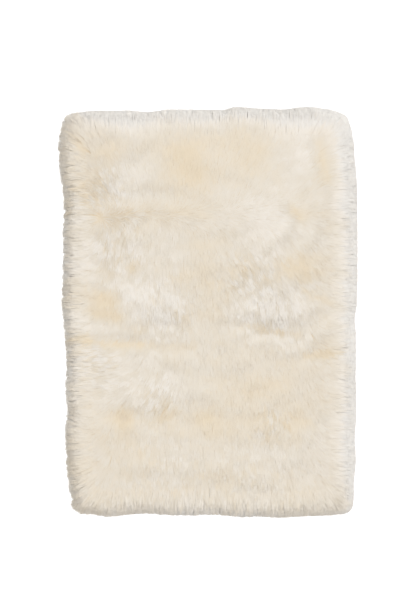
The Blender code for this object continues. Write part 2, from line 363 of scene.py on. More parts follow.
class Field:
    """One output in a node tree. A sum or product of fields adds the node that works it out."""

    def __init__(self, socket):
        self.socket = socket

    def is_vector(self):
        return self.socket.type == "VECTOR"

    def number_math(self, operation, *others):
        return add_node(self.socket.id_data, "ShaderNodeMath", self, *others, operation=operation)

    def vector_math(self, operation, *others, out=None):
        tree = self.socket.id_data
        return add_node(tree, "ShaderNodeVectorMath", self, *others, operation=operation, out=out)

    def join(self, operation, other):
        vector = self.is_vector() or (isinstance(other, Field) and other.is_vector())
        return self.vector_math(operation, other) if vector else self.number_math(operation, other)

    def __add__(self, other):
        return self.join("ADD", other)

    def __sub__(self, other):
        return self.join("SUBTRACT", other)

    def __mul__(self, other):
        by_vector = isinstance(other, Field) and other.is_vector()
        if self.is_vector() and not by_vector:
            return self.vector_math("SCALE", None, None, other)
        if by_vector and not self.is_vector():
            return other * self
        return self.join("MULTIPLY", other)

    def __truediv__(self, other):
        return self.join("DIVIDE", other)

    def __pow__(self, other):
        return self.join("POWER", other)

    def at_least(self, other):
        return self.join("MAXIMUM", other)

    def at_most(self, other):
        return self.join("MINIMUM", other)

    def sine(self):
        return self.number_math("SINE")

    def cosine(self):
        return self.number_math("COSINE")

    def dot(self, other):
        return self.vector_math("DOT_PRODUCT", other, out="Value")

    def cross(self, other):
        return self.vector_math("CROSS_PRODUCT", other)

    def unit(self):
        return self.vector_math("NORMALIZE")

    def parts(self):
        split = self.socket.id_data.nodes.new("ShaderNodeSeparateXYZ")
        self.socket.id_data.links.new(self.socket, split.inputs[0])
        return [Field(output) for output in split.outputs]


def add_node(tree, kind, *inputs, out=None, **options):
    """Adds a node with its options, joins or sets its live inputs in order, and gives one output."""
    node = tree.nodes.new(kind)
    for option, value in options.items():
        setattr(node, option, value)
    scale_only = options.get("operation") == "SCALE"
    live = list(node.inputs) if scale_only else [socket for socket in node.inputs if socket.enabled]
    for socket, value in zip(live, inputs):
        if isinstance(value, Field):
            tree.links.new(value.socket, socket)
        elif value is not None:
            socket.default_value = value
    outputs = [socket for socket in node.outputs if socket.enabled]
    return Field(outputs[0] if out is None else node.outputs[out])


def named(tree, name, vector=False):
    """A named attribute."""
    kind = "FLOAT_VECTOR" if vector else "FLOAT"
    return add_node(tree, "GeometryNodeInputNamedAttribute", name, data_type=kind)


def stored(tree, geometry, name, value, domain="POINT", kind=None):
    """The geometry with a value stored on it under a name."""
    kind = kind or ("FLOAT_VECTOR" if value.is_vector() else "FLOAT")
    return add_node(
        tree, "GeometryNodeStoreNamedAttribute", geometry, True, name, value, data_type=kind, domain=domain
    )


def randomly(tree, low, high, seed):
    """A random number for each element."""
    return add_node(tree, "FunctionNodeRandomValue", low, high, None, seed, data_type="FLOAT")


def make_stitch_tree():
    """Stitches along lines, spaced evenly, each bent up at its ends."""
    tree, given, done = new_group("sewn_over", "GeometryNodeTree", STITCH_SOCKETS, {"Stitches": "Geometry"})
    lines, spacing, length, thread, seed, material = (Field(given[name]) for name in STITCH_SOCKETS)

    spots = tree.nodes.new("GeometryNodeCurveToPoints")
    spots.mode = "LENGTH"
    tree.links.new(add_node(tree, "GeometryNodeMeshToCurve", lines).socket, spots.inputs["Curve"])
    tree.links.new(spacing.socket, spots.inputs["Length"])
    slant = randomly(tree, STITCH_SLANT - STITCH_UNEVEN, STITCH_SLANT + STITCH_UNEVEN, seed)
    across = add_node(
        tree, "ShaderNodeVectorRotate", Field(spots.outputs["Tangent"]), None, slant, rotation_type="Z_AXIS"
    )
    turned = add_node(tree, "FunctionNodeAlignRotationToVector", None, None, across, axis="Z")

    bar = tree.nodes.new("GeometryNodeMeshCylinder")
    bar.inputs["Vertices"].default_value = STITCH_SIDES
    bar.inputs["Side Segments"].default_value = STITCH_STEPS
    tree.links.new((thread * 0.5).socket, bar.inputs["Radius"])
    tree.links.new(length.socket, bar.inputs["Depth"])
    wrap = Field(bar.outputs["UV Map"])
    stitch = stored(tree, Field(bar.outputs["Mesh"]), "OFBake", wrap, "CORNER", "FLOAT2")
    end_share = add_node(tree, "GeometryNodeInputPosition").parts()[2] / (length * 0.5)
    stitch = stored(tree, stitch, "end_share", end_share)
    points = Field(spots.outputs["Points"])
    sewn = add_node(tree, "GeometryNodeInstanceOnPoints", points, None, stitch, None, None, turned)
    sewn = add_node(tree, "GeometryNodeRealizeInstances", sewn)
    into_leather = named(tree, "end_share") ** STITCH_CURL * thread
    drawn_up = add_node(tree, "ShaderNodeCombineXYZ", 0.0, 0.0, into_leather)
    sewn = add_node(tree, "GeometryNodeSetPosition", sewn, None, None, drawn_up)
    sewn = add_node(tree, "GeometryNodeSetShadeSmooth", sewn)
    sewn = add_node(tree, "GeometryNodeSetMaterial", sewn, None, material)
    tree.links.new(sewn.socket, done["Stitches"])
    return tree


def make_thread():
    """Waxed linen thread, ecru and a little uneven."""
    material, tree, shader = new_material("waxed_thread")
    colour, fibres = grain_in(tree, THREAD_FIBRES)
    tree.links.new(colour, shader.inputs["Base Color"])
    shader.inputs["Roughness"].default_value = THREAD_ROUGHNESS
    raise_by(tree, shader, fibres, THREAD_RELIEF)
    return material


def grown_from(carrier, node_tree, sizes):
    """The plain mesh a node tree makes from a mesh, which is then removed."""
    modifier = carrier.modifiers.new(node_tree.name, "NODES")
    modifier.node_group = node_tree
    for item in node_tree.interface.items_tree:
        if item.in_out == "INPUT" and item.name in sizes:
            modifier[item.identifier] = sizes[item.name]
    bpy.context.view_layer.update()
    graph = bpy.context.evaluated_depsgraph_get()
    grown = bpy.data.meshes.new_from_object(carrier.evaluated_get(graph))
    bpy.data.objects.remove(carrier)
    for layer in [layer.name for layer in grown.attributes if layer.domain == "POINT"]:
        if layer != "position":
            grown.attributes.remove(grown.attributes[layer])
    return grown


skin_low, skin_high = flat.min(axis=0) + SEAM_END_GAP, flat.max(axis=0) - SEAM_END_GAP
seam_points, seam_edges = [], []
for seam in SEAMS:
    bends = [x for x, _ in seam if skin_low[0] < x < skin_high[0]]
    xs = [skin_low[0], *bends, skin_high[0]]
    first = len(seam_points)
    seam_points += [(x, np.interp(x, *zip(*seam)), SKIN_TOP - SKIN_THICKNESS) for x in xs]
    seam_edges += [(k, k + 1) for k in range(first, len(seam_points) - 1)]
seam_lines = bpy.data.meshes.new("seam_stitches")
seam_lines.from_pydata(seam_points, seam_edges, [])
stitch_sizes = {
    "Spacing": STITCH_SPACING,
    "Stitch length": STITCH_LENGTH,
    "Thread width": THREAD_WIDTH,
    "Seed": STITCH_SEED,
    "Thread": make_thread(),
}
stitch_mesh = grown_from(show("seam_lines", seam_lines), make_stitch_tree(), stitch_sizes)
seam_stitches = show("seam_stitches", stitch_mesh)
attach(seam_stitches, "root")

# ---------------------------------------------------------------------------------------------
# Undercoat: the dense short wool at the roots of the long locks, which fills the fleece nearly to
# its top. It is one closed form, with the fleece's lumps and partings softened.
# ---------------------------------------------------------------------------------------------

UNDERCOAT_PITCH = 0.0055
UNDERCOAT_INSET = 0.013  # how far its side stands in from the wool's edge
UNDERCOAT_FOOT = 0.0032
SINK = 0.0020  # how far its top lies under the wool's
FACETS_SMOOTHED = 10
PLATEAU = 0.0445  # the wool's usual height
FULL_INLAND = 0.056  # the wool has its full height this far in from its edge
HOLLOWS_KEPT, RIDGES_KEPT = 0.14, 0.28  # the long wool bridges the partings and buries most lumps
ABOVE_ALL = 1.0  # the fleece's heights are measured from up here

# Where the wool stands in plain locks. Elsewhere it lies in a calm, even nap. A negative place is calmer.
Locky = namedtuple("Locky", "x y reach much")
CALM_WOOL = 0.08
LIT_RIM, SHADED_RIM = 0.0, 0.66  # the rim's tufts, on the smooth head and right and on the ruffled left
FOOT_RUFFLED = 0.25  # how far the foot of the rug is like its left
TUFTED_BAND = 0.075
LOCKY_PLACES = (
    Locky(-0.125, 0.035, 0.065, 0.32),
    Locky(0.165, 0.015, 0.065, 0.32),
    Locky(0.095, 0.120, 0.075, 0.22),
    Locky(0.235, 0.105, 0.050, 0.08),
    Locky(-0.265, 0.300, 0.060, 0.32),
    Locky(-0.230, 0.180, 0.070, 0.20),
    Locky(-0.130, -0.205, 0.050, 0.24),
    Locky(-0.275, -0.130, 0.060, 0.24),
    Locky(0.165, -0.280, 0.040, 0.25),
    Locky(-0.120, -0.430, 0.110, 0.10),
    Locky(0.110, -0.430, 0.110, 0.08),
    Locky(0.050, 0.420, 0.200, -0.08),
)

# The wool's tone is 0 where it is white. A patch makes it yellower and darker, or whiter if negative.
PLAIN_TONE = 0.50
WHITEST_INLAND, WHITEST_LOCK = 0.22, 0.12
Mottle = namedtuple("Mottle", "size tone")
MOTTLES = (Mottle(0.070, 0.20), Mottle(0.028, 0.12))
MOTTLE_STRETCH = 2.2
Patch = namedtuple("Patch", "x y reach tone")
PATCHES = (
    Patch(-0.020, 0.400, 0.120, 0.16),
    Patch(-0.300, 0.420, 0.050, 0.15),
    Patch(0.270, 0.420, 0.085, -0.36),
    Patch(0.180, 0.245, 0.080, -0.16),
    Patch(-0.290, 0.130, 0.110, -0.20),
    Patch(-0.250, -0.160, 0.120, -0.12),
    Patch(0.000, 0.060, 0.090, 0.08),
    Patch(0.090, -0.240, 0.120, 0.12),
    # Darker and yellower at the lower left: partly the wool's tone, partly painted shade.
    Patch(-0.250, -0.420, 0.120, 0.10),
    Patch(0.320, -0.330, 0.100, -0.08),
    Patch(-0.254, 0.438, 0.040, 0.26),
    Patch(-0.074, 0.404, 0.055, 0.34),
    Patch(-0.034, 0.364, 0.045, 0.25),
    Patch(0.104, 0.412, 0.048, 0.46),
    Patch(-0.312, 0.335, 0.030, 0.25),
    Patch(-0.272, 0.030, 0.036, 0.62),
    Patch(-0.272, 0.100, 0.020, 0.26),
    Patch(-0.205, 0.124, 0.016, 0.30),
    Patch(-0.195, -0.046, 0.016, 0.25),
    Patch(-0.065, 0.102, 0.020, 0.20),
    Patch(-0.072, 0.014, 0.018, 0.20),
    Patch(0.075, 0.118, 0.018, 0.25),
    Patch(0.052, 0.055, 0.025, 0.20),
    Patch(0.234, 0.128, 0.048, 0.44),
    Patch(-0.008, 0.100, 0.045, 0.20),
    Patch(0.018, 0.003, 0.035, 0.18),
    Patch(0.156, -0.216, 0.060, 0.22),
    Patch(-0.227, -0.280, 0.027, 0.75),
    Patch(-0.114, -0.266, 0.032, 0.40),
    Patch(-0.012, -0.280, 0.036, 0.42),
    Patch(0.230, -0.286, 0.040, 0.36),
    Patch(0.296, -0.111, 0.022, 0.32),
    Patch(-0.021, -0.401, 0.060, 0.12),
    # The next two patches whiten the two main tufts: partly whiter wool, partly painted highlight where the
    # raised tufts catch the light.
    Patch(0.175, 0.012, 0.058, -0.50),
    Patch(-0.127, 0.015, 0.055, -0.44),
    Patch(-0.180, 0.040, 0.045, -0.20),
    Patch(0.095, 0.000, 0.045, -0.26),
    Patch(-0.114, -0.195, 0.040, -0.20),
    Patch(-0.185, 0.346, 0.050, -0.10),
    Patch(0.156, 0.246, 0.055, -0.22),
)
# The wool is whiter towards the edges, partly its own colour and partly painted highlight: the band is
# wider and whiter on the sides that face the key light.
WHITE_RIM_START = 0.010
WHITE_RIM_SHADED, WHITE_RIM_LIT = 0.038, 0.070
RIM_TONE_SHADED, RIM_TONE_LIT = -0.43, -0.72

# Partings, seams and creases, drawn as a darker, yellower line: partly the deeper wool's own colour
# showing, partly painted shade in the crease.
Parting = namedtuple("Parting", "start end reach tone")
PARTINGS = (
    Parting((-0.370, 0.252), (-0.298, 0.262), 0.007, 0.30),
    Parting((-0.298, 0.262), (-0.153, 0.265), 0.009, 0.20),
    Parting((-0.153, 0.265), (0.018, 0.253), 0.011, 0.10),
    Parting((-0.338, -0.080), (-0.180, -0.084), 0.011, 0.50),
    Parting((-0.180, -0.084), (-0.048, -0.090), 0.011, 0.28),
    Parting((0.084, -0.028), (0.230, -0.056), 0.010, 0.46),
    Parting((0.251, -0.111), (0.335, -0.119), 0.008, 0.45),
    Parting((0.253, 0.060), (0.320, 0.016), 0.007, 0.30),
    Parting((-0.300, -0.006), (-0.240, -0.012), 0.014, 0.45),
    Parting((-0.259, -0.282), (0.243, -0.282), 0.018, 0.08),
    Parting((0.290, 0.444), (0.304, 0.372), 0.026, 0.62),
    Parting((0.216, 0.277), (0.243, 0.251), 0.014, 0.42),
    Parting((-0.351, 0.470), (-0.325, 0.430), 0.007, 0.45),
)
# Tone 0, a bluish white, is reached mostly on the lit rims, where it is painted highlight of the cool key
# light.
WOOL_TONES = (
    (0.0, (0.957, 0.953, 0.943, 1.0)),
    (0.10, (0.966, 0.945, 0.914, 1.0)),
    (0.18, (0.970, 0.933, 0.876, 1.0)),
    (0.45, (0.897, 0.848, 0.764, 1.0)),
    (1.0, (0.902, 0.802, 0.640, 1.0)),
    (1.5, (0.800, 0.700, 0.560, 1.0)),
)
DEEPEST_TONE = WOOL_TONES[-1][0]
# The undercoat's colour is multiplied darker and yellower: partly the deep wool's own colour, partly
# painted shade under the long wool.
UNDERCOAT_TINT_AND_SHADE = (0.94, 0.885, 0.79, 1.0)
UNDERCOAT_ROUGHNESS = 0.95
CRINKLE = Grain(420.0, 5.0, 0.35, 0.60, (0.93, 0.91, 0.87, 1.0), WHITE)
CRINKLE_RELIEF = Relief(0.4, 0.0012)


def eased(share):
    """0 to 1 with a level start and end."""
    share = np.clip(share, 0.0, 1.0)
    return share * share * (3.0 - 2.0 * share)


def between(low, high, share):
    """What lies a share of the way from low to high."""
    return low + (high - low) * share


def near(points, place):
    """1 at a place in a table, falling off over its reach."""
    return np.exp(-((points[:, 0] - place.x) ** 2 + (points[:, 1] - place.y) ** 2) / place.reach**2)


def along_line(points, line):
    """1 on a parting's line, falling off over its reach."""
    start, run = np.array(line.start), np.subtract(line.end, line.start)
    share = np.clip((points - start) @ run / (run @ run), 0.0, 1.0)
    off = points - start - share[:, None] * run
    return np.exp(-(off**2).sum(axis=1) / line.reach**2)


def wool_tones(points):
    """How yellow the wool is at each point, from 0 for white, with painted highlight on the lit rims and
    painted shade in the creases.
    """
    tones = np.full(len(points), PLAIN_TONE)
    for mottle in MOTTLES:
        spots = [Vector((x / MOTTLE_STRETCH, y, mottle.size)) / mottle.size for x, y in points]
        tones += mottle.tone * np.array([noise.noise(spot) for spot in spots])
    for patch in PATCHES:
        tones += patch.tone * near(points, patch)
    for line in PARTINGS:
        tones += line.tone * along_line(points, line)
    tones = np.maximum(tones, WHITEST_INLAND)
    from_edge, towards_edge, _ = room_to(wool_edge, points)
    # How far the edge faces the key light; the extra whitening there is painted highlight.
    lit = np.clip(towards_edge.sum(axis=1), 0.0, 1.0)
    band = between(WHITE_RIM_SHADED, WHITE_RIM_LIT, lit)
    whiter = 1.0 - eased((from_edge - WHITE_RIM_START) / band)
    return np.clip(tones + between(RIM_TONE_SHADED, RIM_TONE_LIT, lit) * whiter, 0.0, DEEPEST_TONE)


def wool_tops(points):
    """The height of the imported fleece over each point."""
    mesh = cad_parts["fleece"].data
    corners = [vert.co for vert in mesh.vertices]
    fleece = BVHTree.FromPolygons(corners, [face.vertices for face in mesh.polygons])
    down = Vector((0.0, 0.0, -1.0))
    hits = (fleece.ray_cast(Vector((x, y, ABOVE_ALL)), down)[0] for x, y in points)
    return np.array([hit.z if hit else 0.0 for hit in hits])


def smoothed(bm, times):
    """The heights of a mesh's points after its heights are evened out."""
    for _ in range(times):
        bmesh.ops.smooth_vert(bm, verts=bm.verts, factor=0.5, use_axis_z=True)
    return np.array([vert.co.z for vert in bm.verts])


def set_heights(bm, heights):
    """Moves a mesh's points up or down to new heights."""
    for vert, height in zip(bm.verts, heights):
        vert.co.z = height


under = flat_grid(spread(wool_edge, -UNDERCOAT_INSET), UNDERCOAT_PITCH)
places = np.array([vert.co.xy for vert in under.verts])
room, way_out, _ = room_to(wool_edge, places)
past_side = room - UNDERCOAT_INSET
set_heights(under, wool_tops(places))
tops = smoothed(under, FACETS_SMOOTHED)
relief_kept = np.where(tops < PLATEAU, HOLLOWS_KEPT, RIDGES_KEPT)
tops = between(tops, PLATEAU, (1.0 - relief_kept) * eased(room / FULL_INLAND))

# How far each side faces away from the key light, with the foot counted in part: its rim is ruffled into
# tufts, and their darker strands there are painted shade.
shaded = np.clip(-way_out[:, 0] - FOOT_RUFFLED * way_out[:, 1], 0.0, 1.0)
tufted = (1.0 - eased(past_side / TUFTED_BAND)) * between(LIT_RIM, SHADED_RIM, shaded)
locky = CALM_WOOL + tufted
for place in LOCKY_PLACES:
    locky += place.much * near(places, place)
locky = np.clip(locky, 0.0, 1.0)
inland_locks = locky - tufted

set_heights(under, tops - SINK)
smoothed(under, 1)
# The long wool's roots are spread over this open form, before its sides and underside are closed.
rooted = bpy.data.meshes.new("wool_roots")
under.to_mesh(rooted)
roots = np.array([vert.co for vert in rooted.vertices])
normals = np.array([vert.normal for vert in rooted.vertices])

toned = under.verts.layers.float.new("tone")
for vert, value in zip(under.verts, wool_tones(places)):
    vert[toned] = value / DEEPEST_TONE
rim = [edge for edge in under.edges if edge.is_boundary]
wall = bmesh.ops.extrude_edge_only(under, edges=rim)["geom"]
for vert in wall:
    if isinstance(vert, bmesh.types.BMVert):
        vert.co.z = UNDERCOAT_FOOT
foot = [edge for edge in under.edges if edge.is_boundary]
bmesh.ops.contextual_create(under, geom=foot)
bmesh.ops.recalc_face_normals(under, faces=under.faces)
undercoat_mesh = bpy.data.meshes.new("undercoat")
under.to_mesh(undercoat_mesh)
under.free()


def make_wool_colour():
    """A shader group: the wool's colour by its share of the deepest tone, times a shade."""
    tree, given, done = new_group(
        "wool_colour", "ShaderNodeTree", {"Tone share": "Float", "Shade": "Color"}, {"Colour": "Color"}
    )
    stops = [(tone / DEEPEST_TONE, colour) for tone, colour in WOOL_TONES]
    colour = colour_ramp(tree, given["Tone share"], stops)
    tree.links.new(blended(tree, colour, given["Shade"], 1.0, "MULTIPLY"), done["Colour"])
    return tree


def wool_colour_in(tree, tone_share):
    """The wool's colour group, placed in a material: its shade's socket and its colour."""
    node = tree.nodes.new("ShaderNodeGroup")
    node.node_tree = wool_colour
    tree.links.new(tone_share, node.inputs["Tone share"])
    return node.inputs["Shade"], node.outputs["Colour"]


def make_undercoat_wool():
    """Short matted wool: the long wool's tones, darker and yellower as painted shade under the long wool
    and as the deep wool's own colour, with a fine crinkle.
    """
    material, tree, shader = new_material("undercoat_wool")
    shade, colour = wool_colour_in(tree, stored_value(tree, "tone"))
    shade.default_value = UNDERCOAT_TINT_AND_SHADE
    flecks, crinkle = grain_in(tree, CRINKLE)
    tree.links.new(blended(tree, colour, flecks, 1.0, "MULTIPLY"), shader.inputs["Base Color"])
    shader.inputs["Roughness"].default_value = UNDERCOAT_ROUGHNESS
    raise_by(tree, shader, crinkle, CRINKLE_RELIEF)
    return material


wool_colour = make_wool_colour()
undercoat_mesh.shade_smooth()
undercoat_mesh.materials.append(make_undercoat_wool())
undercoat = show("undercoat", undercoat_mesh)
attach(undercoat, "root")
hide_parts("fleece")

# ---------------------------------------------------------------------------------------------
# Long wool: silky fibres in locks, combed outwards at the rim, towards the head of the rug above its
# first seam and towards the foot below it. Each strand is a tapered ribbon for a few dozen fibres.
# ---------------------------------------------------------------------------------------------

# What a strand's colour is multiplied by along it, from its root to its tip: darker and yellower at the
# root, partly the wool's own colour there and partly painted shade deep in the fleece.
ROOT_TINT_AND_SHADE = (
    (0.0, (0.935, 0.87, 0.765, 1.0)),
    (0.25, (0.985, 0.965, 0.930, 1.0)),
    (0.7, WHITE),
)
WOOL_ROUGHNESS, WOOL_GLOSS = 0.6, 0.35
MAP_MARGIN = 0.02  # the wool's colour map leaves this much free at its edges
STROKE_ON_MAP = 0.001

# The comb's heading, in degrees, over the head and over the body of the rug at each X, and the width
# of the band between them in which it turns.
Flow = namedtuple("Flow", "x head body turn")
FLOWS = (
    Flow(-0.35, 118.0, -104.0, 0.060),
    Flow(-0.10, 96.0, -94.0, 0.075),
    Flow(0.10, 62.0, -82.0, 0.140),
    Flow(0.35, 32.0, -66.0, 0.200),
)
HEAD_TURN_WANDER, WANDER_SIZE = 0.030, 0.060
FLOW_WEIGHT = 0.35  # how far the flow holds against a place that is combed another way
Comb = namedtuple("Comb", "x y heading reach")
COMBS = (
    Comb(-0.25, 0.15, -100.0, 0.08),
    Comb(-0.12, 0.03, -82.0, 0.07),
    Comb(0.08, 0.12, -55.0, 0.07),
    Comb(0.23, 0.10, -50.0, 0.07),
    Comb(0.16, 0.01, -92.0, 0.06),
    Comb(-0.13, -0.21, -125.0, 0.05),
    Comb(-0.27, -0.15, 165.0, 0.07),
    Comb(0.17, -0.28, -100.0, 0.05),
    Comb(0.00, -0.42, -90.0, 0.12),
)
RIM_COMBED = 0.100  # how far in the wool begins to turn outwards
RIM_PIECE = 0.080  # wool that grows nearer than this to the edge is in the rim's pieces
RIM_SLOPE = 0.020  # the width of the band in which the wool's top comes down to the floor
SLOPE_POWER, SLOPE_DROP = 5.0, 0.82
UPRIGHT_INLAND, UPRIGHT_AT_RIM = 0.6, 3.6  # how far strands rise straight up rather than off the skin
TONE_LEAD = 0.020  # a strand shows its end, which lies this far along the comb from its root

# What the wool is like where it is calm, what locks add to it, and what the rim's tufts add.
Manner = namedtuple("Manner", "calm locks tufts")
# On the tufted rim away from the key light, DULL's share is painted shade between the locks.
DULL = Manner(0.12, 0.10, 0.30)  # how far up a strand the deeper colour of its root may reach
STREAKY = Manner(0.02, 0.85, 0.20)  # how much strands differ in tone
GATHERED = Manner(0.05, 0.25, 0.20)  # how far a strand's tip is drawn to the middle of its lock
WIDE = Manner(1.40, -0.85, -0.85)
NARROWEST, WIDEST = 0.8, 1.4
DENSE = Manner(1.0, 0.5, 0.5)
EDGE_DENSITY, EDGE_BAND = 1.4, 0.045  # the edge of the wool is grown denser still

# How far a strand leans from upright, in radians: at its start, in calm wool and in locky wool, and
# at its end.
CALM_LEAN, LOCKY_LEAN, END_LEAN = 1.44, 1.24, 1.68
TIP_BENDS = 2.2  # above 1, a strand's steps are shorter towards its end, where it bends down most

# A strand's usual measures, and how far it departs from them with its lock and on its own. An amount
# is that of calm wool, and what is added to it where the wool is locky.
Amount = namedtuple("Amount", "calm locks")
TURN_LOCK, TURN_OWN = Amount(0.03, 0.24), Amount(0.02, 0.10)
TRIM_LOCK, TRIM_OWN, TRIM_LENGTH = Amount(0.0004, 0.0050), Amount(0.0005, 0.0009), 0.0064
RISE_LOCK, RISE_OWN, RISE_USUAL = Amount(0.03, 0.22), Amount(0.06, 0.14), 0.85
ROLL_LOCK, ROLL_OWN = Amount(0.04, 0.40), Amount(0.05, 0.45)
LENGTH_LOCK, LENGTH_USUAL = Amount(0.05, 0.20), Amount(0.82, 0.50)
LENGTH_OWN, LENGTH_OWN_SPREAD = 0.9, 0.2
OUTWARD_USUAL, OUTWARD_LOCK, OUTWARD_FALL = 1.8, 0.15, 1.6  # combed outwards less and less inland
STREAK_LOCK, STREAK_LEAST, LOCK_WHITER = 1.3, 0.05, 0.3
DULLED_LOCK, DULLED_OWN, DULLED_USUAL, DULLED_MOST = 0.70, 0.50, 0.15, 0.9
TOUSLED, TOUSLE_LOCK, TOUSLE_OWN = Amount(0.10, 1.3), 0.55, 0.25
BEND_LOCK, BEND_OWN = 0.0050, 0.0030
SHORTEST = 0.001
FLOOR_GAP, FLOOR_PILE = 0.0004, 0.0025  # the lowest ends lie in a thin pile on the floor
GATHER_POWER = 1.3
ROOT_WIDTH, SWELL, TAPER_POWER = 0.5, 2.2, 2.5  # a strand widens from its root and ends in a point
RIBBON_WIDTH, RIBBON_LENGTH = 2.0, 1.0
TIP_LINE, TIP_WELD = 0.499, 2.5  # a ribbon's end corners lie past this line and are drawn into one

Growth = namedtuple("Growth", "density length width steps lock_spacing")
INNER_GROWTH = Growth(212000.0, 0.036, 0.0016, 2, 0.0085)
RIM_GROWTH = Growth(150000.0, 0.048, 0.0017, 3, 0.0062)
LOCKS_TRIED = 1.2
INNER_SEED, RIM_SEED, LOCK_SEED, OWN_SEED = 3, 21, 11, 31
WHIMS = 5
WOOL_SOCKETS = {
    "Skin": "Geometry",
    "Density": "Float",
    "Length": "Float",
    "Width": "Float",
    "Steps": "Int",
    "Lock spacing": "Float",
    "Seed": "Int",
    "Wool": "Material",
}

from_rim = past_side / RIM_COMBED
rim_share = 1.0 - eased(from_rim)
wander = np.array([noise.noise(Vector((x, y, 0.0)) / WANDER_SIZE) for x, y, z in roots])
past_seam = roots[:, 1] - seam_heights(roots[:, 0])[0] + HEAD_TURN_WANDER * wander
flow_x, *flow_columns = (np.array(column) for column in zip(*FLOWS))
head_way, body_way, turn_width = (np.interp(roots[:, 0], flow_x, column) for column in flow_columns)
heading = np.radians(between(body_way, head_way, eased(past_seam / turn_width + 0.5)))
combed = FLOW_WEIGHT * np.column_stack([np.cos(heading), np.sin(heading)])
for comb in COMBS:
    angle = math.radians(comb.heading)
    combed += near(roots, comb)[:, None] * (math.cos(angle), math.sin(angle))
combed = unit(combed)
upright = between(UPRIGHT_INLAND, UPRIGHT_AT_RIM, rim_share)
standing = unit(normals + np.outer(upright, (0.0, 0.0, 1.0)))


def along_skin(directions):
    """Level directions turned to lie along the skin."""
    level = np.column_stack([directions, np.zeros(len(directions))])
    return unit(level - standing * (level * standing).sum(axis=1)[:, None])


def by_manner(manner, locks):
    """A quality of the wool at each root."""
    return manner.calm + manner.locks * locks + manner.tufts * tufted


tips = places + TONE_LEAD * unit(combed + way_out * rim_share[:, None])
plain_locks = np.maximum(inland_locks - CALM_WOOL, 0.0)
edge_wool = EDGE_DENSITY * (1.0 - eased(past_side / EDGE_BAND))
for name, values in (
    ("comb", along_skin(combed)),
    ("comb_out", along_skin(way_out)),
    ("from_rim", from_rim),
    ("stand", standing),
    ("way_out", np.column_stack([way_out, np.zeros(len(roots))])),
    ("room", room),
    ("tone", wool_tones(tips)),
    ("locky", locky),
    ("dull", np.clip(by_manner(DULL, inland_locks), 0.0, 1.0)),
    ("wide", np.clip(by_manner(WIDE, inland_locks), NARROWEST, WIDEST)),
    ("streaky", by_manner(STREAKY, plain_locks)),
    ("gathered", by_manner(GATHERED, inland_locks)),
    ("dense", by_manner(DENSE, inland_locks) + edge_wool),
):
    set_attribute(rooted, name, values)


